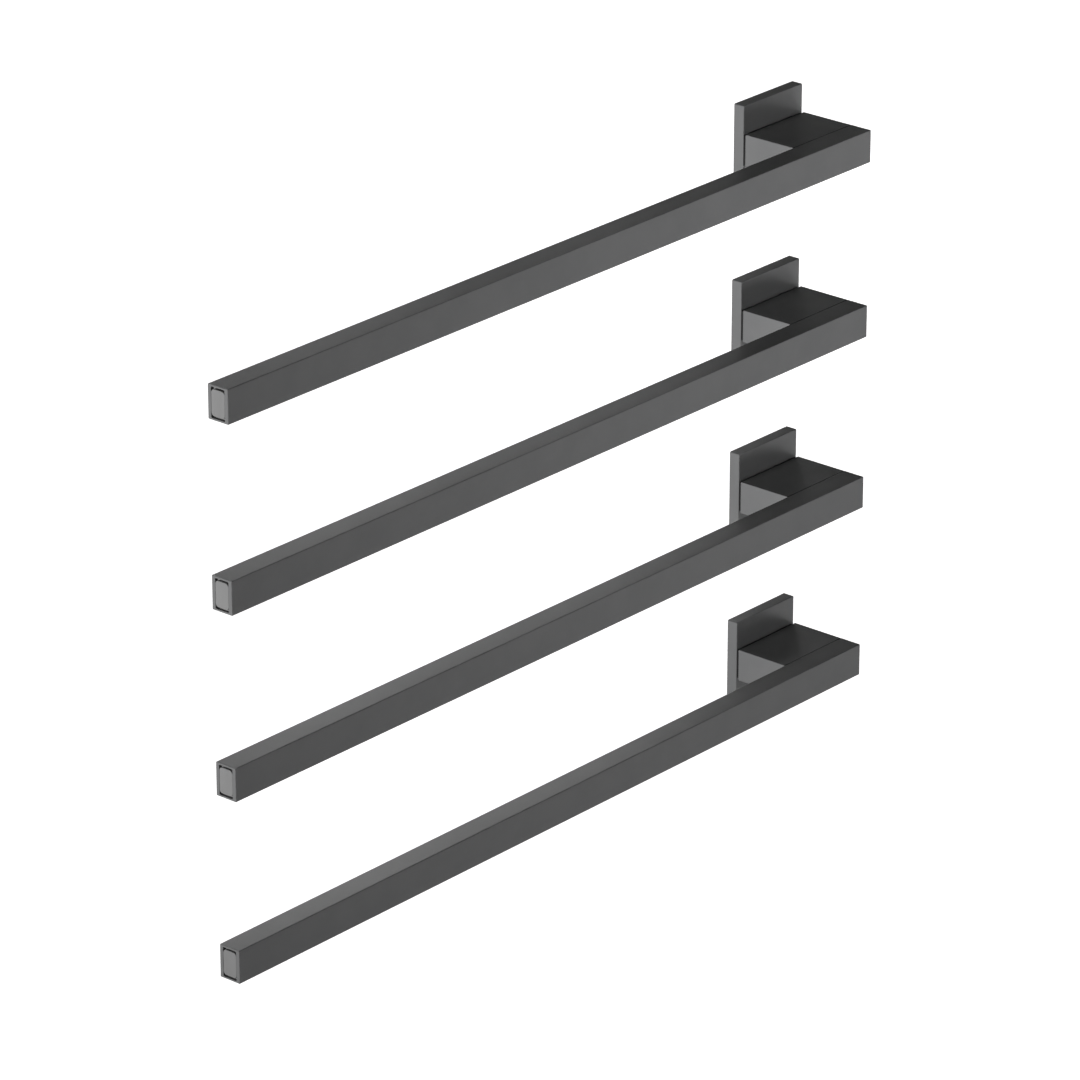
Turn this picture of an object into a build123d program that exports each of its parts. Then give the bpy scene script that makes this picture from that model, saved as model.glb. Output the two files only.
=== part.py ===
from build123d import *
from math import radians, tan
import os

# A set of one-sided heated towel rails, one above another on a wall.
# Millimetres. X runs along the bars towards the arms, Y into the wall, Z up.
# The origin is the middle of the lowest bracket's back face, on the wall.

# The set
rail_count = 4
rail_pitch = 120

# Bar, with thicker walls at the front and back, where the arm's screws pull on it
rail_length = 600
rail_height = 22
rail_depth = 16
tube_side_wall = 2.6
tube_level_wall = 1.2
tube_edge_radius = 0.5
tube_bore_radius = 0.8
tube_end_chamfer = 0.25

# Arm, as wide as the cover plate and as tall as the bar
arm_width = 60
arm_length = 39
arm_side_wall = 5
arm_wall = 2.5
arm_web = 3
arm_corner_radius = 0.5
arm_end_radius = 0.4
arm_bore_radius = 1.2

# Cover plate on the wall, and the reveal between it and the arm
plate_height = 60
plate_thickness = 8
plate_corner_radius = 0.8
plate_edge_radius = 0.6
cover_wall = 2
recess_corner_radius = 1.5
shadow_gap = 1.5
gasket_inset = 1
gasket_corner_radius = 0.4
pad_radius = 2.5
pad_spacing_x = 20
pad_spacing_z = 28

# Wall bracket and the box spigot that the arm slides over
bracket_thickness = 3
bracket_clearance = 0.3
bracket_corner_radius = 1.2
spigot_length = 30
spigot_wall = 2
spigot_clearance = 0.2
wall_screw_hole_radius = 2.5
wall_screw_spacing = 40

# Rubber grommet where the supply cable enters
cable_radius = 3.6
grommet_radius = 4.95
grommet_flange_thickness = 1.5
grommet_flange_clearance = 0.2
grommet_recess = 0.5

# Screws
fit_clearance = 0.05
lock_screw_radius = 2
lock_screw_length = 4
lock_screw_x = 18
lock_screw_distance = 24
lock_socket_radius = 1.15
lock_socket_depth = 2
arm_screw_radius = 2
arm_screw_length = 8
arm_screw_clearance = 0.25
arm_screw_x = 14
arm_head_radius = 3.8
arm_head_height = 2.2
arm_head_chamfer = 1
arm_socket_radius = 1.44
arm_socket_depth = 1.3

# Threaded plate inside the tube
nut_plate_margin = 3.5
nut_plate_thickness = 2.4
nut_plate_clearance = 0.2
nut_plate_corner_radius = 1
lead_window_width = 12
lead_window_height = 9

# Heating element and its spacers
element_radius = 4
element_neck_radius = 3.4
element_neck_length = 6
element_tip_radius = 1.5
element_end_gap = 4
element_setback = 54
spacer_count = 3
spacer_length = 8
spacer_setback = 16
spacer_chamfer = 2.2

# Thermal cut-out, against the tube's inner top face
cutout_length = 20
cutout_width = 7.5
cutout_height = 4
cutout_edge_radius = 0.8
cutout_gap = 22
ferrule_radius = 1.4
ferrule_length = 3

# Leads and the bush that they pass through
lead_radius = 1
lead_spacing = 3
lead_straight = 3.5
lead_grip = 5
bend_share = 0.45
bush_radius = 3.9
bush_bore_radius = 2.9
bush_flange_radius = 5.2
bush_flange_thickness = 1.2
bush_overhang = 0.5

# Earth tag under the arm screw on the terminal's earth side
tag_radius = 3.9
tag_thickness = 0.8
tag_tongue_width = 4
barrel_wall = 0.65
barrel_length = 6
barrel_grip = 4.5

# Terminal block in the spigot
way_count = 3
way_pitch = 8
terminal_side_margin = 5
terminal_depth = 16
terminal_headroom = 1.6
terminal_recess = 3
terminal_edge_radius = 0.8
terminal_slot_width = 1.2
terminal_slot_depth = 2
insert_radius = 2.2
insert_wall = 0.8
insert_inset = 0.6
terminal_screw_radius = 1.2
terminal_shank_length = 1.85
terminal_head_radius = 1.8
terminal_head_height = 1.5
terminal_well_clearance = 0.3
terminal_screw_spacing = 8
driver_slot_width = 0.5
driver_slot_depth = 0.7

# End plugs, each with a panel that has a groove above and below it
plug_length = 9
plug_wall = 1.5
panel_corner_radius = 2.5
panel_edge_radius = 0.4
groove_width = 1.3
groove_depth = 2

# Places along the bar
arm_end = arm_width / 2
free_end = arm_end - rail_length
element_start = free_end + plug_length + element_end_gap
element_end = -arm_width / 2 - element_setback
cutout_start = element_end + cutout_gap
cutout_end = cutout_start + cutout_length

# Distances from the wall
recess_depth = plate_thickness - cover_wall
arm_back = plate_thickness + shadow_gap
arm_front = arm_back + arm_length
web_face = arm_front - arm_web
tube_inner_back = arm_front + tube_side_wall
rail_axis = arm_front + rail_depth / 2
spigot_front = bracket_thickness + spigot_length
terminal_front = spigot_front - terminal_recess
terminal_back = terminal_front - terminal_depth
live_distance = rail_axis - lead_spacing / 2
neutral_distance = rail_axis + lead_spacing / 2
bush_end = tube_inner_back + bush_overhang
bush_mouth = web_face - bush_flange_thickness
tag_face = web_face - tag_thickness
barrel_mouth = tag_face - barrel_length

# Hollow rooms and what slides in them
tube_room_depth = rail_depth - 2 * tube_side_wall
tube_room_height = rail_height - 2 * tube_level_wall
plug_width = tube_room_depth - 2 * fit_clearance
plug_height = tube_room_height - 2 * fit_clearance
arm_room_width = arm_width - 2 * arm_side_wall
arm_room_height = rail_height - 2 * arm_wall
spigot_width = arm_room_width - 2 * spigot_clearance
spigot_height = arm_room_height - 2 * spigot_clearance
spigot_room_width = spigot_width - 2 * spigot_wall
spigot_room_height = spigot_height - 2 * spigot_wall
spigot_corner_radius = arm_bore_radius
grommet_flange_radius = spigot_room_height / 2 - grommet_flange_clearance
terminal_width = (way_count - 1) * way_pitch + 2 * terminal_side_margin
terminal_height = spigot_room_height - terminal_headroom
terminal_top = terminal_height - spigot_room_height / 2
terminal_well_radius = terminal_head_radius + terminal_well_clearance
nut_plate_length = 2 * (arm_screw_x + nut_plate_margin)
nut_plate_height = tube_room_height - 2 * tube_bore_radius - 2 * nut_plate_clearance
cutout_level = tube_room_height / 2 - cutout_height / 2
underside = -rail_height / 2
barrel_radius = lead_radius + fit_clearance + barrel_wall
clamp_level = lead_radius + fit_clearance
clamp_head_level = clamp_level + terminal_shank_length

rail_levels = [number * rail_pitch for number in range(rail_count)]
way_places = [(way - (way_count - 1) / 2) * way_pitch for way in range(way_count)]
live_way, neutral_way, earth_way = way_places[0], way_places[1], way_places[-1]
arm_screw_seats = [(-arm_screw_x, web_face), (arm_screw_x, tag_face)]
lock_screw_places = [(x, -lock_screw_distance) for x in (-lock_screw_x, lock_screw_x)]
arm_screw_places = [(x, 0) for x in (-arm_screw_x, arm_screw_x)]
terminal_middle = (terminal_back + terminal_front) / 2
terminal_screw_places = [
    (x, side * terminal_screw_spacing / 2 - terminal_middle) for x in way_places for side in (-1, 1)
]


def off_wall(distance):
    """Plane parallel to the wall, facing the room, with X and Z as its own axes."""
    return Plane.XZ.offset(distance)


def across(x):
    """Plane across the bar, facing the arm, with Y and Z as its own axes."""
    return Plane.YZ.offset(x)


def widest_radii(points, tightest):
    """Bend radius at each corner of a lead, using a share of its shorter run, up to the given caps."""
    corners = [Vector(*point) for point in points]
    radii = []
    for before, corner, after, cap in zip(corners, corners[1:], corners[2:], tightest):
        turn = (corner - before).get_angle(after - corner)
        shorter = min((corner - before).length, (after - corner).length)
        radius = bend_share * shorter / tan(radians(turn / 2))
        radii.append(min(radius, cap) if cap else radius)
    return radii


with BuildPart() as rail_tube:
    with BuildSketch(across(free_end)) as tube_section:
        with Locations((-rail_axis, 0)):
            RectangleRounded(rail_depth, rail_height, tube_edge_radius)
            RectangleRounded(tube_room_depth, tube_room_height, tube_bore_radius, mode=Mode.SUBTRACT)
    extrude(amount=rail_length)
    tube_ends = rail_tube.faces().filter_by(Axis.X)
    chamfer([edge for end in tube_ends for edge in end.outer_wire().edges()], tube_end_chamfer)
    with BuildSketch(off_wall(arm_front)) as tube_back_holes:
        with Locations(*arm_screw_places):
            Circle(arm_screw_radius + arm_screw_clearance)
        Circle(bush_radius + fit_clearance)
    extrude(amount=tube_side_wall, mode=Mode.SUBTRACT)

with BuildPart() as arm_housing:
    with BuildSketch(off_wall(arm_back)) as arm_outline:
        RectangleRounded(arm_width, rail_height, arm_corner_radius)
    extrude(amount=arm_length)
    fillet(arm_housing.faces().filter_by(Axis.Y).edges(), arm_end_radius)
    with BuildSketch(off_wall(arm_back)) as arm_room:
        RectangleRounded(arm_room_width, arm_room_height, arm_bore_radius)
    extrude(amount=arm_length - arm_web, mode=Mode.SUBTRACT)
    with BuildSketch(off_wall(web_face)) as web_holes:
        with Locations(*arm_screw_places):
            Circle(arm_screw_radius + arm_screw_clearance)
        Circle(bush_radius + fit_clearance)
    extrude(amount=arm_web, mode=Mode.SUBTRACT)
    with BuildSketch(Plane.XY.offset(underside)) as lock_holes:
        with Locations(*lock_screw_places):
            Circle(lock_screw_radius + fit_clearance)
    extrude(amount=arm_wall, mode=Mode.SUBTRACT)

with BuildPart() as cover_plate:
    with BuildSketch(off_wall(0)) as plate_outline:
        RectangleRounded(arm_width, plate_height, plate_corner_radius)
    extrude(amount=plate_thickness)
    fillet(cover_plate.faces().sort_by(Axis.Y)[0].edges(), plate_edge_radius)
    with BuildSketch(off_wall(0)) as cover_recess:
        RectangleRounded(arm_width - 2 * cover_wall, plate_height - 2 * cover_wall, recess_corner_radius)
    extrude(amount=recess_depth, mode=Mode.SUBTRACT)
    with BuildSketch(off_wall(recess_depth)) as cover_window:
        RectangleRounded(arm_room_width, arm_room_height, arm_bore_radius)
    extrude(amount=cover_wall, mode=Mode.SUBTRACT)
    with BuildSketch(off_wall(bracket_thickness)) as cover_pads:
        with GridLocations(pad_spacing_x, pad_spacing_z, 2, 2):
            Circle(pad_radius)
    extrude(amount=recess_depth - bracket_thickness)

with BuildPart() as wall_bracket:
    with BuildSketch(off_wall(0)) as bracket_outline:
        RectangleRounded(
            arm_width - 2 * cover_wall - 2 * bracket_clearance,
            plate_height - 2 * cover_wall - 2 * bracket_clearance,
            bracket_corner_radius,
        )
        with GridLocations(wall_screw_spacing, wall_screw_spacing, 2, 2):
            Circle(wall_screw_hole_radius, mode=Mode.SUBTRACT)
        Circle(grommet_radius + fit_clearance, mode=Mode.SUBTRACT)
    extrude(amount=bracket_thickness)
    with BuildSketch(off_wall(bracket_thickness)) as spigot_section:
        RectangleRounded(spigot_width, spigot_height, spigot_corner_radius)
        Rectangle(spigot_room_width, spigot_room_height, mode=Mode.SUBTRACT)
    extrude(amount=spigot_length)
    with BuildSketch(Plane.XY.offset(underside)) as lock_dimples:
        with Locations(*lock_screw_places):
            Circle(lock_screw_radius + fit_clearance)
    extrude(amount=lock_screw_length, mode=Mode.SUBTRACT)

with BuildPart() as gap_gasket:
    with BuildSketch(off_wall(plate_thickness)) as gasket_ring:
        RectangleRounded(
            arm_width - 2 * gasket_inset,
            rail_height - 2 * gasket_inset,
            gasket_corner_radius,
        )
        RectangleRounded(arm_room_width, arm_room_height, arm_bore_radius, mode=Mode.SUBTRACT)
    extrude(amount=shadow_gap)

with BuildPart() as nut_plate:
    with BuildSketch(off_wall(tube_inner_back)) as nut_plate_outline:
        RectangleRounded(nut_plate_length, nut_plate_height, nut_plate_corner_radius)
        with Locations(*arm_screw_places):
            Circle(arm_screw_radius + fit_clearance, mode=Mode.SUBTRACT)
        RectangleRounded(
            lead_window_width,
            lead_window_height,
            nut_plate_corner_radius,
            mode=Mode.SUBTRACT,
        )
    extrude(amount=nut_plate_thickness)

with BuildPart() as heating_element:
    with BuildSketch(across(element_start)) as sheath_section:
        with Locations((-rail_axis, 0)):
            Circle(element_radius)
    extrude(amount=element_end - element_neck_length - element_start)
    fillet(heating_element.faces().sort_by(Axis.X)[0].edges(), element_tip_radius)
    with BuildSketch(across(element_end - element_neck_length)) as neck_section:
        with Locations((-rail_axis, 0)):
            Circle(element_neck_radius)
    extrude(amount=element_neck_length)

with BuildPart() as thermal_cutout:
    with BuildSketch(across(cutout_start)) as cutout_section:
        with Locations((-rail_axis, cutout_level)):
            RectangleRounded(cutout_width, cutout_height, cutout_edge_radius)
    extrude(amount=cutout_length)
    with BuildSketch(across(cutout_start - ferrule_length)) as ferrule_section:
        with Locations((-live_distance, cutout_level)):
            Circle(ferrule_radius)
    extrude(amount=cutout_length + 2 * ferrule_length)

# Routes of the leads, each as the corners of its straight runs
first_turn = bush_mouth - lead_straight
last_turn = terminal_front + lead_straight
lead_tip = terminal_front - lead_grip
live_x = -lead_spacing / 2
neutral_x = lead_spacing / 2
ferrule_in = cutout_start - ferrule_length
ferrule_out = cutout_end + ferrule_length
descent_end = ferrule_out + cutout_gap - lead_straight

lead_routes = {
    "live feed": (
        [
            (element_end, -live_distance, 0),
            (element_end + lead_straight, -live_distance, 0),
            (ferrule_in - lead_straight, -live_distance, cutout_level),
            (ferrule_in, -live_distance, cutout_level),
        ],
        [None, None],
    ),
    "live return": (
        [
            (ferrule_out, -live_distance, cutout_level),
            (ferrule_out + lead_straight, -live_distance, cutout_level),
            (descent_end, -live_distance, 0),
            (live_x, -live_distance, 0),
            (live_x, -first_turn, 0),
            (live_way, -last_turn, 0),
            (live_way, -lead_tip, 0),
        ],
        [None, None, live_distance - bush_end, None, None],
    ),
    "neutral": (
        [
            (element_end, -neutral_distance, 0),
            (neutral_x, -neutral_distance, 0),
            (neutral_x, -first_turn, 0),
            (neutral_way, -last_turn, 0),
            (neutral_way, -lead_tip, 0),
        ],
        [neutral_distance - bush_end, None, None],
    ),
    "earth": (
        [
            (earth_way, -barrel_mouth - barrel_grip, 0),
            (earth_way, -lead_tip, 0),
        ],
        [],
    ),
}

with BuildPart() as internal_leads:
    for lead_name, (corners, caps) in lead_routes.items():
        bend_radii = widest_radii(corners, caps)
        print(lead_name, "lead bend radii", [round(radius, 1) for radius in bend_radii])
        with BuildLine() as lead_route:
            if bend_radii:
                FilletPolyline(*corners, radius=bend_radii)
            else:
                Line(*corners)
        route = lead_route.wires()[0]
        with BuildSketch(Plane(origin=route @ 0, z_dir=route % 0)) as lead_section:
            Circle(lead_radius)
        sweep(path=route)

with BuildPart() as terminal_block:
    with BuildSketch(off_wall(terminal_back)) as block_section:
        with Locations((0, terminal_top - terminal_height / 2)):
            RectangleRounded(terminal_width, terminal_height, terminal_edge_radius)
        with Locations(*[(x, 0) for x in way_places]):
            Circle(insert_radius + fit_clearance, mode=Mode.SUBTRACT)
    extrude(amount=terminal_depth)
    with BuildSketch(Plane.XY.offset(terminal_top)) as wells:
        with Locations(*terminal_screw_places):
            Circle(terminal_well_radius)
    extrude(amount=insert_radius / 2 - terminal_top, mode=Mode.SUBTRACT)
    with BuildSketch(Plane.XY.offset(terminal_top)) as block_slots:
        with Locations(*[(x + way_pitch / 2, -terminal_middle) for x in way_places[:-1]]):
            Rectangle(terminal_slot_width, terminal_depth)
    extrude(amount=-terminal_slot_depth, mode=Mode.SUBTRACT)

with BuildPart() as free_end_plug:
    with BuildSketch(across(free_end + groove_depth)) as plug_collar:
        with Locations((-rail_axis, 0)):
            RectangleRounded(plug_width, plug_height, tube_bore_radius)
    extrude(amount=plug_length - groove_depth)
    with BuildSketch(across(free_end)) as plug_panel:
        with Locations((-rail_axis, 0)):
            RectangleRounded(plug_width, tube_room_height - 2 * groove_width, panel_corner_radius)
    extrude(amount=groove_depth)
    fillet(free_end_plug.faces().sort_by(Axis.X)[0].edges(), panel_edge_radius)
    with BuildSketch(across(free_end + groove_depth + plug_wall)) as plug_hollow:
        with Locations((-rail_axis, 0)):
            Rectangle(plug_width - 2 * plug_wall, plug_height - 2 * plug_wall)
    extrude(amount=plug_length - groove_depth - plug_wall, mode=Mode.SUBTRACT)

with BuildPart() as arm_end_plug:
    mirror(free_end_plug.part, about=across((free_end + arm_end) / 2))

with BuildPart() as element_spacers:
    spacer_run = element_end - element_start - 2 * spacer_setback - spacer_length
    for place in range(spacer_count):
        spacer_start = element_start + spacer_setback + spacer_run * place / (spacer_count - 1)
        with BuildSketch(across(spacer_start)) as spacer_section:
            with Locations((-rail_axis, 0)):
                Rectangle(tube_room_depth, tube_room_height)
            chamfer(spacer_section.vertices(), spacer_chamfer)
            with Locations((-rail_axis, 0)):
                Circle(element_radius + fit_clearance, mode=Mode.SUBTRACT)
        extrude(amount=spacer_length)

with BuildPart() as lock_screws:
    with BuildSketch(Plane.XY.offset(underside)) as lock_screw_rounds:
        with Locations(*lock_screw_places):
            Circle(lock_screw_radius)
    extrude(amount=lock_screw_length)
    with BuildSketch(Plane.XY.offset(underside)) as lock_sockets:
        with Locations(*lock_screw_places):
            RegularPolygon(lock_socket_radius, 6)
    extrude(amount=lock_socket_depth, mode=Mode.SUBTRACT)

with BuildPart() as arm_screws:
    for x, seat in arm_screw_seats:
        with BuildSketch(off_wall(seat)) as shank_round:
            with Locations((x, 0)):
                Circle(arm_screw_radius)
        extrude(amount=arm_screw_length)
        with BuildSketch(off_wall(seat - arm_head_height)) as head_round:
            with Locations((x, 0)):
                Circle(arm_head_radius)
        extrude(amount=arm_head_height)
        head_face = arm_screws.faces().filter_by(Axis.Y).sort_by(Axis.Y)[-1]
        chamfer(head_face.edges(), arm_head_chamfer)
        with BuildSketch(off_wall(seat - arm_head_height)) as socket_hex:
            with Locations((x, 0)):
                RegularPolygon(arm_socket_radius, 6)
        extrude(amount=arm_socket_depth, mode=Mode.SUBTRACT)

with BuildPart() as lead_bushes:
    with BuildSketch(off_wall(bush_mouth)) as bush_flange:
        Circle(bush_flange_radius)
    extrude(amount=bush_flange_thickness)
    with BuildSketch(off_wall(web_face)) as bush_sleeve:
        Circle(bush_radius)
    extrude(amount=bush_end - web_face)
    with BuildSketch(off_wall(bush_mouth)) as bush_bore:
        Circle(bush_bore_radius)
    extrude(amount=bush_end - bush_mouth, mode=Mode.SUBTRACT)

with BuildPart() as cable_grommets:
    with BuildSketch(off_wall(grommet_recess)) as grommet_sleeve:
        Circle(grommet_radius)
    extrude(amount=bracket_thickness - grommet_recess)
    with BuildSketch(off_wall(bracket_thickness)) as grommet_flange:
        Circle(grommet_flange_radius)
    extrude(amount=grommet_flange_thickness)
    with BuildSketch(off_wall(grommet_recess)) as grommet_bore:
        Circle(cable_radius)
    extrude(amount=bracket_thickness + grommet_flange_thickness - grommet_recess, mode=Mode.SUBTRACT)

with BuildPart() as earth_tags:
    with BuildSketch(off_wall(tag_face)) as tag_plate:
        with Locations((arm_screw_x, 0)):
            Circle(tag_radius)
        with Locations(((arm_screw_x + earth_way) / 2, 0)):
            Rectangle(arm_screw_x - earth_way, tag_tongue_width)
        with Locations((earth_way, 0)):
            Circle(tag_tongue_width / 2)
        with Locations((arm_screw_x, 0)):
            Circle(arm_screw_radius + fit_clearance, mode=Mode.SUBTRACT)
    extrude(amount=tag_thickness)
    with BuildSketch(off_wall(barrel_mouth)) as barrel_ring:
        with Locations((earth_way, 0)):
            Circle(barrel_radius)
            Circle(lead_radius + fit_clearance, mode=Mode.SUBTRACT)
    extrude(amount=barrel_length)

with BuildPart() as terminal_inserts:
    with BuildSketch(off_wall(terminal_back + insert_inset)) as insert_rings:
        with Locations(*[(x, 0) for x in way_places]):
            Circle(insert_radius)
            Circle(insert_radius - insert_wall, mode=Mode.SUBTRACT)
    extrude(amount=terminal_depth - 2 * insert_inset)
    with BuildSketch(Plane.XY) as insert_holes:
        with Locations(*terminal_screw_places):
            Circle(terminal_screw_radius + fit_clearance)
    extrude(amount=insert_radius, mode=Mode.SUBTRACT)

with BuildPart() as terminal_screws:
    with BuildSketch(Plane.XY.offset(clamp_level)) as clamp_shanks:
        with Locations(*terminal_screw_places):
            Circle(terminal_screw_radius)
    extrude(amount=terminal_shank_length)
    with BuildSketch(Plane.XY.offset(clamp_head_level)) as clamp_heads:
        with Locations(*terminal_screw_places):
            Circle(terminal_head_radius)
    extrude(amount=terminal_head_height)
    with BuildSketch(Plane.XY.offset(clamp_head_level + terminal_head_height)) as driver_slots:
        with Locations(*terminal_screw_places):
            Rectangle(2 * terminal_head_radius, driver_slot_width)
    extrude(amount=-driver_slot_depth, mode=Mode.SUBTRACT)

os.makedirs("parts", exist_ok=True)

# Main pieces, one node on every rail, all modelled on the lowest rail
rail_pieces = {
    "rail_tube": rail_tube,
    "arm_housing": arm_housing,
    "cover_plate": cover_plate,
    "wall_bracket": wall_bracket,
    "gap_gasket": gap_gasket,
    "nut_plate": nut_plate,
    "heating_element": heating_element,
    "thermal_cutout": thermal_cutout,
    "internal_leads": internal_leads,
    "terminal_block": terminal_block,
    "free_end_plug": free_end_plug,
    "arm_end_plug": arm_end_plug,
}
for name, piece in rail_pieces.items():
    for number, level in enumerate(rail_levels, start=1):
        copy = piece.part.moved(Location((0, 0, level)))
        copy.label = f"{name}_{number}"
        export_step(copy, f"parts/{copy.label}.step")

# Small alike pieces, one node of each kind for the whole set
set_pieces = {
    "element_spacers": element_spacers,
    "lock_screws": lock_screws,
    "arm_screws": arm_screws,
    "lead_bushes": lead_bushes,
    "cable_grommets": cable_grommets,
    "earth_tags": earth_tags,
    "terminal_inserts": terminal_inserts,
    "terminal_screws": terminal_screws,
}
for name, piece in set_pieces.items():
    copies = [piece.part.moved(Location((0, 0, level))) for level in rail_levels]
    group = Compound([solid for copy in copies for solid in copy.solids()])
    group.label = name
    export_step(group, f"parts/{name}.step")
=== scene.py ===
import math

import bpy
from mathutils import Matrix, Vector


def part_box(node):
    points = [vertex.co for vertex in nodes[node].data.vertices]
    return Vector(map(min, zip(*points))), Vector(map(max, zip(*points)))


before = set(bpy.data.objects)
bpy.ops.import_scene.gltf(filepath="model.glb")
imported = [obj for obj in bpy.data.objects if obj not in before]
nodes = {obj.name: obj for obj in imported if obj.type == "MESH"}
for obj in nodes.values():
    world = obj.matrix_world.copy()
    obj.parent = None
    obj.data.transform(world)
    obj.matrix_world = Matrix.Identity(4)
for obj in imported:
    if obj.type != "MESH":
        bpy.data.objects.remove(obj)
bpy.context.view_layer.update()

MM = 0.001

scene = bpy.context.scene


def middle(name):
    """The centre of a CAD node's box, in metres."""
    low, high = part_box(name)
    return (low + high) / 2


def half_size(name):
    """Half of a CAD node's box along each axis, in metres."""
    low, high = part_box(name)
    return (high - low) / 2


RAIL_PITCH = middle("rail_tube_2").z - middle("rail_tube_1").z
ARM_HALF_WIDTH = half_size("arm_housing_1").x
BAR_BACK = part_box("rail_tube_1")[1].y

# Painted shade: a dark band laid into the coat along the seam between bar and arm. Its ends fade
# out beside the arm's sides.
SEAM_CORE = 0.35 * MM
SEAM_REACH = 0.75 * MM
SEAM_RAGGED = 0.2 * MM
SEAM_END_START = ARM_HALF_WIDTH - 0.2 * MM
SEAM_END_STOP = ARM_HALF_WIDTH + 0.8 * MM

# How closely the normal agrees with a bevelled one on a worn edge and on a flat stretch.
EDGE_AGREEMENT = 0.75
FLAT_AGREEMENT = 0.98
BEVEL_SAMPLES = 4

# Two limits of a noise, between which a ramp turns one look into another.
SHARP = (0.3, 0.7)
PLAIN = (0.25, 0.75)
SOFT = (0.2, 0.8)
RARE = (0.6, 0.8)


class Finish:
    """A procedural material that reads the object's own coordinates, in metres."""

    # An offset moves a pattern by these shares of itself along X, Y and Z.
    OFFSET_SHARES = (1.0, 0.7, 0.3)

    def __init__(self, name):
        self.material = bpy.data.materials.new(name)
        self.material.use_nodes = True
        self.tree = self.material.node_tree
        self.tree.nodes.clear()
        output = self.node("ShaderNodeOutputMaterial")
        self.shader = self.node("ShaderNodeBsdfPrincipled")
        self.tree.links.new(self.shader.outputs["BSDF"], output.inputs["Surface"])
        self.place = self.node("ShaderNodeTexCoord").outputs["Object"]

    def node(self, kind, **settings):
        made = self.tree.nodes.new(kind)
        for key, value in settings.items():
            setattr(made, key, value)
        return made

    def put(self, socket, value):
        """Sets a socket to a number or colour, or links it to another node's output."""
        if isinstance(value, bpy.types.NodeSocket):
            self.tree.links.new(value, socket)
        else:
            socket.default_value = value

    def math(self, operation, *values):
        made = self.node("ShaderNodeMath", operation=operation)
        for socket, value in zip(made.inputs, values):
            self.put(socket, value)
        return made.outputs[0]

    def vector(self, operation, first, second):
        made = self.node("ShaderNodeVectorMath", operation=operation)
        self.put(made.inputs[0], first)
        self.put(made.inputs[1], second)
        return made.outputs[0]

    def split(self, vector):
        """The X, Y and Z parts of a vector."""
        made = self.node("ShaderNodeSeparateXYZ")
        self.put(made.inputs[0], vector)
        return made.outputs

    def noise(self, size, detail=2.0, roughness=0.5, stretch=(1, 1, 1), offset=0.0):
        """Noise from 0 to 1, mostly 0.3 to 0.7, whose features are about size metres across.

        Each noise of a material has its own offset, so that no two patterns coincide."""
        scaled = self.vector("MULTIPLY", self.place, [part / size for part in stretch])
        moved = self.vector("ADD", scaled, [offset * share for share in self.OFFSET_SHARES])
        made = self.node("ShaderNodeTexNoise", noise_dimensions="3D")
        self.put(made.inputs["Vector"], moved)
        made.inputs["Scale"].default_value = 1.0
        made.inputs["Detail"].default_value = detail
        made.inputs["Roughness"].default_value = roughness
        return made.outputs["Fac"]

    def ramp(self, value, low, high, start=0.0, end=1.0):
        """Maps value from low..high smoothly to start..end."""
        made = self.node("ShaderNodeMapRange", interpolation_type="SMOOTHSTEP")
        for socket, number in zip(made.inputs, (value, low, high, start, end)):
            self.put(socket, number)
        return made.outputs["Result"]

    def mix(self, share, first, second):
        """The first colour at share 0, the second at share 1."""
        made = self.node("ShaderNodeMix", data_type="RGBA", blend_type="MIX")
        self.put(made.inputs["Factor"], share)
        colours = [socket for socket in made.inputs if socket.type == "RGBA"]
        self.put(colours[0], first)
        self.put(colours[1], second)
        return [socket for socket in made.outputs if socket.type == "RGBA"][0]

    def bump(self, height, distance, below=None):
        """A normal for this height pattern, distance metres deep, over the bump below it."""
        made = self.node("ShaderNodeBump")
        made.inputs["Strength"].default_value = 1.0
        made.inputs["Distance"].default_value = distance
        self.put(made.inputs["Height"], height)
        if below is not None:
            self.put(made.inputs["Normal"], below)
        return made.outputs["Normal"]

    def set(self, **sockets):
        """Fills shader sockets by name, with _ for a space, and returns the material."""
        for key, value in sockets.items():
            self.put(self.shader.inputs[key.replace("_", " ")], value)
        return self.material

    def depths(self, name):
        """How far a point lies inside a CAD node's box along X, Y and Z, in metres.

        The box repeats along Z at the rails' pitch."""
        x, y, z = self.split(self.vector("SUBTRACT", self.place, middle(name)))
        z = self.math("WRAP", z, RAIL_PITCH / 2, -RAIL_PITCH / 2)
        return [
            self.math("SUBTRACT", half, self.math("ABSOLUTE", offset))
            for offset, half in zip((x, y, z), half_size(name))
        ]

    def edge_distance(self, name):
        """How far a point on the surface of a CAD node's box lies from the nearest edge.

        One of the three depths is 0 there, and the middle one is that distance."""
        x, y, z = self.depths(name)
        least = self.math("MINIMUM", x, y)
        most = self.math("MAXIMUM", x, y)
        return self.math("MAXIMUM", least, self.math("MINIMUM", most, z))

    def seam_shade_share(self):
        """1 in the joint between bar and arm, where shade is painted into the coat, falling to 0
        beside it.
        """
        x, y, _ = self.split(self.place)
        beside = self.math("ABSOLUTE", self.math("SUBTRACT", y, BAR_BACK))
        # A noise that makes the edge of the painted seam shade ragged.
        patchiness = self.noise(3 * MM, offset=9.0)
        ragged = self.math("MULTIPLY_ADD", patchiness, SEAM_RAGGED, beside)
        near_seam = self.ramp(ragged, SEAM_CORE, SEAM_REACH, start=1.0, end=0.0)
        along = self.math("ABSOLUTE", x)
        within = self.ramp(along, SEAM_END_START, SEAM_END_STOP, start=1.0, end=0.0)
        return self.math("MULTIPLY", near_seam, within)

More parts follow.
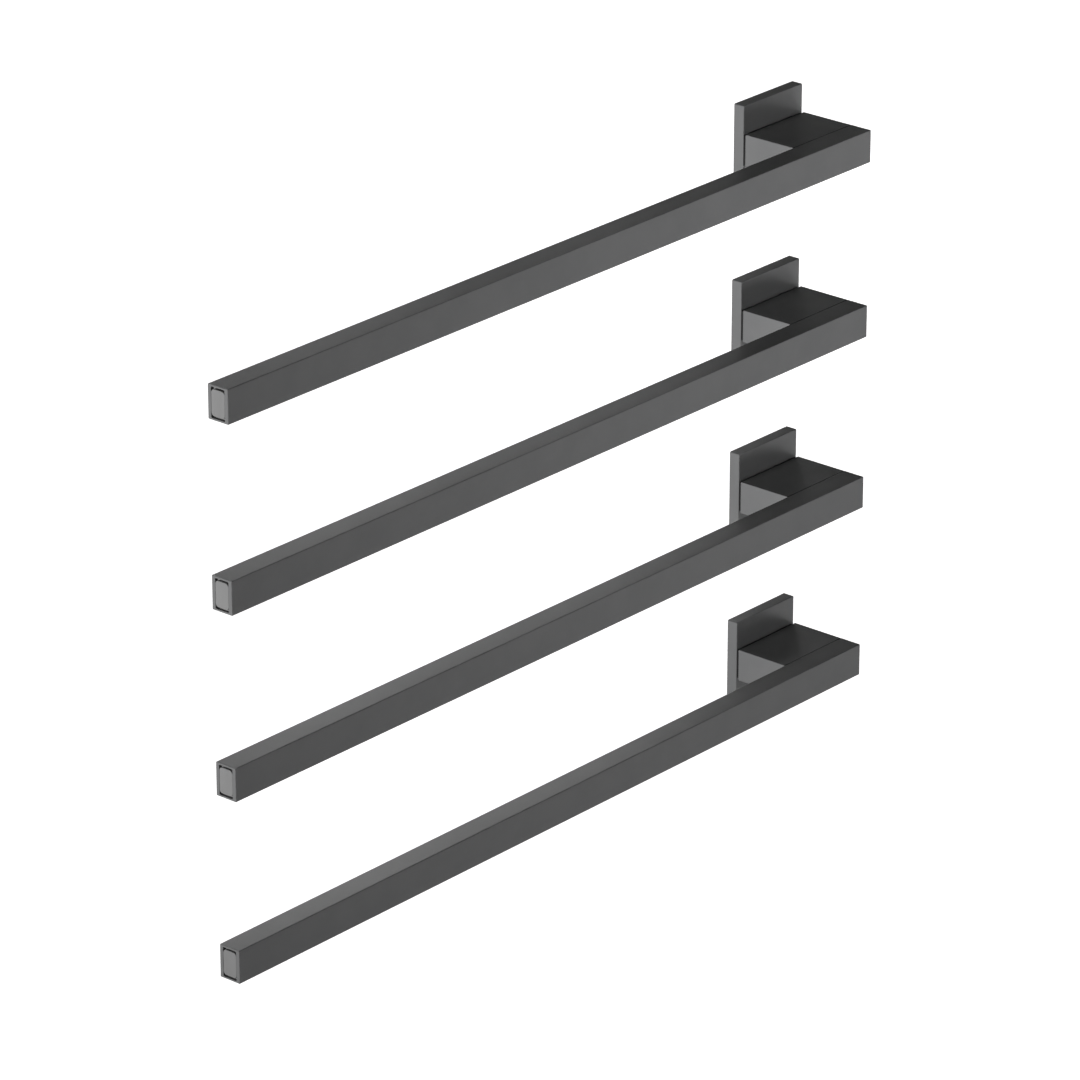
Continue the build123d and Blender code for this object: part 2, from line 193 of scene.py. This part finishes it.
    def worn_edge(self, radius):
        """0 on flat stretches, rising to 1 on edges, where a bevel this wide turns the normal."""
        bevel = self.node("ShaderNodeBevel", samples=BEVEL_SAMPLES)
        bevel.inputs["Radius"].default_value = radius
        flat = self.node("ShaderNodeNewGeometry").outputs["Normal"]
        alike = self.node("ShaderNodeVectorMath", operation="DOT_PRODUCT")
        self.put(alike.inputs[0], bevel.outputs["Normal"])
        self.put(alike.inputs[1], flat)
        agreement = alike.outputs["Value"]
        return self.ramp(agreement, EDGE_AGREEMENT, FLAT_AGREEMENT, start=1.0, end=0.0)


def grey(level, warmth=0.0):
    """A near-neutral colour in linear light. Warmth above 0 leans to red, below 0 to blue."""
    return (level * (1 + warmth), level, level * (1 - warmth), 1.0)


# Powder coat: colours, roughness, the width of its rubbed edges and the depth of its texture.
COAT_DARK = grey(0.131, -0.012)
COAT_LIGHT = grey(0.143, -0.008)
COAT_FLECK = grey(0.172, -0.01)
COAT_RUBBED = grey(0.205)
# Painted shade: the dark colour laid into the coat along the seam between bar and arm.
COAT_SEAM_SHADE = grey(0.016)
COAT_SMOOTHEST = 0.29
COAT_ROUGHEST = 0.34
FLECK_LIMITS = (0.58, 0.78)
FLECK_SHARE = 0.3
RUB_CORE = 0.45 * MM
RUB_REACH = 1.0 * MM
RUB_RAGGED = 0.9 * MM
RUB_SHARE = 0.35
RUB_POLISH = 0.012
# How far the painted seam shade pulls the coat towards that dark colour, and how much rougher the
# coat is in the seam.
SEAM_SHADE_SHARE = 0.85
SEAM_ROUGHNESS = 0.4
PEEL_DEPTH = 0.012 * MM
GRAIN_DEPTH = 0.002 * MM


def powder_coat(name, node):
    """Satin graphite powder coat on metal: faint mottle, orange peel, rubbed edges, painted shade
    in the seam.
    """
    f = Finish(name)
    mottle = f.noise(24 * MM, detail=3.0, roughness=0.55)
    base = f.mix(f.ramp(mottle, *SHARP), COAT_DARK, COAT_LIGHT)
    flecks = f.noise(0.7 * MM, offset=3.1)
    base = f.mix(f.ramp(flecks, *FLECK_LIMITS, end=FLECK_SHARE), base, COAT_FLECK)
    scuffs = f.noise(5 * MM, detail=3.0, offset=8.0)
    ragged = f.math("MULTIPLY_ADD", scuffs, RUB_RAGGED, f.edge_distance(node))
    rubbed = f.ramp(ragged, RUB_CORE, RUB_REACH, start=1.0, end=0.0)
    base = f.mix(f.math("MULTIPLY", rubbed, RUB_SHARE), base, COAT_RUBBED)
    # Painted shade: the coat turns dark along the seam between bar and arm, and rougher there.
    seam = f.seam_shade_share()
    base = f.mix(f.math("MULTIPLY", seam, SEAM_SHADE_SHARE), base, COAT_SEAM_SHADE)
    handled = f.noise(40 * MM, detail=3.0, offset=5.0)
    rough = f.ramp(handled, *PLAIN, start=COAT_SMOOTHEST, end=COAT_ROUGHEST)
    rough = f.math("SUBTRACT", rough, f.math("MULTIPLY", rubbed, RUB_POLISH))
    rough = f.math("MULTIPLY_ADD", seam, SEAM_ROUGHNESS, rough)
    peel = f.bump(f.noise(1.6 * MM, offset=1.7), PEEL_DEPTH)
    grain = f.bump(f.noise(0.35 * MM, offset=6.3), GRAIN_DEPTH, below=peel)
    return f.set(Base_Color=base, Roughness=rough, Normal=grain, Specular_IOR_Level=0.3)


# The other materials: how strong each detail is, and how much smoother worn edges are.
SPARK_SHARE = 0.3
TARNISH_SHARE = 0.65
LINE_SHARE = 0.35
PLASTIC_WEAR = 0.5
RUBBER_WEAR = 0.4
WORN_POLISH = 0.1
SPARK_DEPTH = 0.01 * MM
PORE_DEPTH = 0.02 * MM
SCRATCH_DEPTH = 0.006 * MM
SLEEVE_DEPTH = 0.015 * MM


def moulded(name, level, roughness, specular, warmth=0.0):
    """Moulded plastic: spark-eroded grain, slow flow marks, edges polished by handling."""
    f = Finish(name)
    flow = f.noise(9 * MM, stretch=(1, 1, 0.35))
    shades = grey(level * 0.95, warmth), grey(level * 1.05, warmth)
    base = f.mix(f.ramp(flow, *PLAIN), *shades)
    sparks = f.noise(0.4 * MM, detail=1.0, offset=2.0)
    base = f.mix(f.ramp(sparks, *RARE, end=SPARK_SHARE), base, grey(level * 1.25, warmth))
    worn = f.math("MULTIPLY", f.worn_edge(0.35 * MM), f.noise(4 * MM, detail=3.0, offset=7.0))
    base = f.mix(f.math("MULTIPLY", worn, PLASTIC_WEAR), base, grey(level * 1.5, warmth))
    gloss = f.noise(6 * MM, offset=4.0)
    rough = f.ramp(gloss, *PLAIN, start=roughness - 0.05, end=roughness + 0.05)
    rough = f.math("SUBTRACT", rough, f.math("MULTIPLY", worn, WORN_POLISH))
    grain = f.bump(sparks, SPARK_DEPTH)
    return f.set(Base_Color=base, Roughness=rough, Normal=grain, Specular_IOR_Level=specular)


def rubber(name, level, roughness):
    """Matt rubber with bloom, a soft open grain and edges gone grey."""
    f = Finish(name)
    bloom = f.noise(7 * MM, detail=3.0)
    base = f.mix(f.ramp(bloom, 0.3, 0.75), grey(level), grey(level * 1.5))
    worn = f.math("MULTIPLY", f.worn_edge(0.3 * MM), f.noise(3 * MM, detail=3.0, offset=7.5))
    base = f.mix(f.math("MULTIPLY", worn, RUBBER_WEAR), base, grey(level * 2.2))
    rough = f.ramp(bloom, *SOFT, start=roughness - 0.08, end=roughness + 0.06)
    pores = f.bump(f.noise(0.5 * MM, offset=4.4), PORE_DEPTH)
    return f.set(Base_Color=base, Roughness=rough, Normal=pores, Specular_IOR_Level=0.3)


def metal(name, dark, light, roughness, stretch=(1, 1, 1), grain_size=0.4 * MM):
    """Bare or plated metal: tarnish, drawn lines along the stretch, bright rubbed edges."""
    f = Finish(name)
    tarnish = f.noise(12 * MM, detail=4.0, roughness=0.6)
    lines = f.noise(grain_size, stretch=stretch, offset=2.5)
    stained = f.ramp(tarnish, *SHARP, end=TARNISH_SHARE)
    share = f.math("MULTIPLY_ADD", f.ramp(lines, *SHARP), LINE_SHARE, stained)
    base = f.mix(share, (*dark, 1.0), (*light, 1.0))
    worn = f.math("MULTIPLY", f.worn_edge(0.3 * MM), f.noise(4 * MM, detail=3.0, offset=6.5))
    bright = [min(1.0, part * 1.25) for part in light]
    base = f.mix(worn, base, (*bright, 1.0))
    rough = f.ramp(lines, *SOFT, start=roughness - 0.07, end=roughness + 0.07)
    rough = f.math("SUBTRACT", rough, f.math("MULTIPLY", worn, WORN_POLISH))
    scratches = f.bump(lines, SCRATCH_DEPTH)
    return f.set(Base_Color=base, Roughness=rough, Normal=scratches, Metallic=1.0)


def sheathed_lead(name):
    """Silicone-sleeved leads: off-white under dust, scuffed where they bend, with a fine skin."""
    f = Finish(name)
    patchiness = f.noise(4 * MM, detail=3.0)
    base = f.mix(f.ramp(patchiness, *SHARP), (0.56, 0.54, 0.49, 1), (0.68, 0.66, 0.61, 1))
    scuffs = f.ramp(f.noise(1.5 * MM, detail=4.0, offset=3.3), 0.6, 0.7, end=0.4)
    base = f.mix(scuffs, base, (0.4, 0.38, 0.34, 1))
    rough = f.ramp(patchiness, *SOFT, start=0.45, end=0.62)
    skin = f.bump(f.noise(0.6 * MM, offset=2.2), SLEEVE_DEPTH)
    return f.set(Base_Color=base, Roughness=rough, Normal=skin, Specular_IOR_Level=0.35)


# The stretches draw a metal's pattern out along the bar.
SHEATH_STRETCH = (0.05, 1, 1)
EXTRUSION_STRETCH = (0.06, 1, 1)

plug = moulded("plug_grey", 0.175, roughness=0.5, specular=0.35)
seal = rubber("seal_black", 0.014, roughness=0.75)
plated = metal("zinc_plated", (0.38, 0.39, 0.39), (0.56, 0.56, 0.54), 0.46, grain_size=0.6 * MM)
oxide = metal("black_oxide", (0.03, 0.03, 0.032), (0.07, 0.068, 0.066), 0.42)
sheath = metal("drawn_sheath", (0.34, 0.32, 0.29), (0.5, 0.49, 0.47), 0.38, SHEATH_STRETCH)
extruded = metal(
    "extruded_aluminium", (0.62, 0.62, 0.63), (0.8, 0.8, 0.8), 0.32, EXTRUSION_STRETCH
)
tinned = metal("tinned", (0.5, 0.49, 0.46), (0.68, 0.67, 0.63), 0.3)
brass = metal("brass", (0.6, 0.42, 0.17), (0.78, 0.58, 0.28), 0.3)
cutout = moulded("cutout_black", 0.03, roughness=0.3, specular=0.5)
nylon = moulded("terminal_white", 0.64, roughness=0.42, specular=0.5, warmth=0.03)

finishes = {
    "rail_tube": powder_coat("coat_tube", "rail_tube_1"),
    "arm_housing": powder_coat("coat_arm", "arm_housing_1"),
    "cover_plate": powder_coat("coat_plate", "cover_plate_1"),
    "free_end_plug": plug,
    "arm_end_plug": plug,
    "gap_gasket": seal,
    "cable_grommets": seal,
    "wall_bracket": plated,
    "nut_plate": plated,
    "arm_screws": plated,
    "terminal_screws": plated,
    "lock_screws": oxide,
    "heating_element": sheath,
    "element_spacers": extruded,
    "thermal_cutout": cutout,
    "internal_leads": sheathed_lead("lead_sleeve"),
    "terminal_block": nylon,
    "lead_bushes": nylon,
    "earth_tags": tinned,
    "terminal_inserts": brass,
}


def wear_finish(kind, finish):
    """Gives every CAD object whose name starts with kind the one finish."""
    for name, piece in nodes.items():
        if name.startswith(kind):
            piece.data.materials.clear()
            piece.data.materials.append(finish)
            for face in piece.data.polygons:
                face.material_index = 0


for kind, finish in finishes.items():
    wear_finish(kind, finish)

# Camera: set from the photograph's vanishing points and the built sizes. Lens and sensor are in
# millimetres, as Blender takes them, and places and distances in metres.
CAMERA_AZIMUTH = math.radians(-49.25)
CAMERA_ELEVATION = math.radians(22.84)
CAMERA_DISTANCE = 3.94465
CAMERA_TARGET = Vector((-0.26024, -0.0345, 0.17027))
CLIP_START = 0.1
CLIP_END = 60.0
SENSOR = 36.0
LENS = 210.753

camera_data = bpy.data.cameras.new("camera")
camera_data.sensor_width = SENSOR
camera_data.lens = LENS
camera_data.clip_start = CLIP_START
camera_data.clip_end = CLIP_END
camera = bpy.data.objects.new("camera", camera_data)
scene.collection.objects.link(camera)
back = Vector(
    (
        math.sin(CAMERA_AZIMUTH) * math.cos(CAMERA_ELEVATION),
        -math.cos(CAMERA_AZIMUTH) * math.cos(CAMERA_ELEVATION),
        math.sin(CAMERA_ELEVATION),
    )
)
camera.location = CAMERA_TARGET + back * CAMERA_DISTANCE
camera.rotation_mode = "QUATERNION"
camera.rotation_quaternion = (-back).to_track_quat("-Z", "Y")
scene.camera = camera

# Floor: a wide pale disc with a low rim far away, so that the horizon is pale all round.
FLOOR_LEVEL = -0.46
FLOOR_RADIUS = 12.0
FLOOR_SIDES = 96
RIM_HEIGHT = 3.0
RIM_RUN = 3.0
RIM_STEPS = 12


def floor_rings():
    """The radius and height above the floor of each ring of points, from the inside out."""
    rings = [(FLOOR_RADIUS, 0.0)]
    for step in range(1, RIM_STEPS + 1):
        angle = math.radians(90) * step / RIM_STEPS
        radius = FLOOR_RADIUS + RIM_RUN * math.sin(angle)
        rings.append((radius, RIM_HEIGHT * (1 - math.cos(angle))))
    return rings


def floor_shape():
    """The floor's points and faces: a fan out to the first ring, then a band to each next one."""
    points = [(0.0, 0.0, FLOOR_LEVEL)]
    faces = []
    for ring, (radius, rise) in enumerate(floor_rings()):
        for side in range(FLOOR_SIDES):
            turn = 2 * math.pi * side / FLOOR_SIDES
            place = (radius * math.cos(turn), radius * math.sin(turn), FLOOR_LEVEL + rise)
            points.append(place)
        outer = 1 + ring * FLOOR_SIDES
        inner = outer - FLOOR_SIDES
        for side in range(FLOOR_SIDES):
            after = (side + 1) % FLOOR_SIDES
            if ring == 0:
                faces.append((0, outer + side, outer + after))
            else:
                faces.append((inner + side, outer + side, outer + after, inner + after))
    return points, faces


floor_points, floor_faces = floor_shape()
floor_mesh = bpy.data.meshes.new("floor")
floor_mesh.from_pydata(floor_points, [], floor_faces)
for face in floor_mesh.polygons:
    face.use_smooth = True
floor = bpy.data.objects.new("floor", floor_mesh)
scene.collection.objects.link(floor)

FLOOR_COLOUR = (0.8, 0.8, 0.8, 1.0)
FLOOR_LIFT = 0.95
WHITE = (1, 1, 1, 1)


def floor_paper():
    """Pale paper that looks near white, seen directly, in a reflection or through clear stuff.

    Its glow shows only to those rays, so it adds no light to matt surfaces."""
    material = bpy.data.materials.new("floor_paper")
    material.use_nodes = True
    tree = material.node_tree
    tree.nodes.clear()

    def calculate(operation, first, second):
        made = tree.nodes.new("ShaderNodeMath")
        made.operation = operation
        tree.links.new(first, made.inputs[0])
        if isinstance(second, float):
            made.inputs[1].default_value = second
        else:
            tree.links.new(second, made.inputs[1])
        return made.outputs[0]

    paper = tree.nodes.new("ShaderNodeBsdfDiffuse")
    paper.inputs["Color"].default_value = FLOOR_COLOUR
    rays = tree.nodes.new("ShaderNodeLightPath").outputs
    shown = calculate("MAXIMUM", rays["Is Camera Ray"], rays["Is Glossy Ray"])
    shown = calculate("MAXIMUM", shown, rays["Is Transmission Ray"])
    glow = tree.nodes.new("ShaderNodeEmission")
    glow.inputs["Color"].default_value = WHITE
    tree.links.new(calculate("MULTIPLY", shown, FLOOR_LIFT), glow.inputs["Strength"])
    total = tree.nodes.new("ShaderNodeAddShader")
    tree.links.new(paper.outputs["BSDF"], total.inputs[0])
    tree.links.new(glow.outputs["Emission"], total.inputs[1])
    output = tree.nodes.new("ShaderNodeOutputMaterial")
    tree.links.new(total.outputs["Shader"], output.inputs["Surface"])
    return material


floor_mesh.materials.append(floor_paper())

# Studio light: a dim even world, soft boxes behind, above and to the right of the set, and
# spots on its front and left.
WORLD_STRENGTH = 0.02
world = bpy.data.worlds.new("studio")
world.use_nodes = True
background = world.node_tree.nodes["Background"]
background.inputs["Color"].default_value = WHITE
background.inputs["Strength"].default_value = WORLD_STRENGTH
scene.world = world

SET_MIDDLE = Vector((-0.27, -0.04, 0.18))


def around(azimuth, elevation, distance):
    """A place this far from the set's middle, with the azimuth counted from +X towards the wall."""
    turn, rise = math.radians(azimuth), math.radians(elevation)
    across = math.cos(rise)
    way = Vector((math.cos(turn) * across, math.sin(turn) * across, math.sin(rise)))
    return SET_MIDDLE + way * distance


def set_lamp(name, data, place, aim):
    """Puts a lamp at its place, turned towards its aim and hidden from the camera."""
    lamp = bpy.data.objects.new(name, data)
    lamp.location = place
    lamp.rotation_mode = "QUATERNION"
    lamp.rotation_quaternion = (Vector(aim) - Vector(place)).to_track_quat("-Z", "Y")
    lamp.visible_camera = False
    scene.collection.objects.link(lamp)


def soft_box(name, place, size, level):
    """A round area lamp that gives a card facing it in the set's middle this share of white.

    The energy is what an evenly glowing disc of this size needs for that at this distance."""
    data = bpy.data.lights.new(name, "AREA")
    data.shape = "DISK"
    data.size = size
    away = (Vector(place) - SET_MIDDLE).length
    data.energy = level * (4 * away**2 + size**2) * math.pi / 4 * math.pi
    set_lamp(name, data, place, SET_MIDDLE)


def soft_spot(name, place, aim, reach, softness, level):
    """A spot that gives a card at its aim point this share of white and fades out at this reach.

    Blender spreads a spot's energy over the whole sphere, and only its cone is lit."""
    data = bpy.data.lights.new(name, "SPOT")
    away = (Vector(place) - Vector(aim)).length
    data.spot_size = 2 * math.atan(reach / away)
    data.spot_blend = 1.0
    data.shadow_soft_size = softness
    data.energy = level * (2 * math.pi * away) ** 2
    set_lamp(name, data, place, aim)


LEFT_PLACE = around(165, -4, 6.0)
LEFT_AIM = (0.1, 0.0, 0.36)
FRONT_HIGH_PLACE = around(300, 8, 7.0)
FRONT_HIGH_AIM = (0.05, -0.05, 0.45)
FRONT_LOW_PLACE = (0.5, -1.9, -0.34)
FRONT_LOW_AIM = (0.0, -0.05, 0.5)
FRONT_FILL_PLACE = (0.3, -1.9, -0.34)
FRONT_FILL_AIM = (-0.2, -0.05, 0.42)

soft_spot("left", LEFT_PLACE, LEFT_AIM, reach=0.75, softness=0.2, level=1.0)
soft_spot("front_high", FRONT_HIGH_PLACE, FRONT_HIGH_AIM, reach=0.8, softness=0.8, level=0.58)
soft_spot("front_low", FRONT_LOW_PLACE, FRONT_LOW_AIM, reach=0.55, softness=0.25, level=0.35)
soft_spot("front_fill", FRONT_FILL_PLACE, FRONT_FILL_AIM, reach=0.7, softness=0.25, level=0.09)
soft_box("behind_left_high", (0.45, 0.9, 0.6), size=0.3, level=0.028)
soft_box("behind_left", (0.45, 0.9, 0.42), size=0.3, level=0.042)
soft_box("behind_right", (0.8, 0.9, 0.42), size=0.3, level=0.05)
soft_box("behind_wide", around(90, 12, 4.0), size=2.4, level=0.16)
soft_box("above", around(160, 60, 6.0), size=2.4, level=0.11)
soft_box("right", around(12, -5, 3.0), size=0.8, level=0.4)

scene.view_settings.view_transform = "Standard"
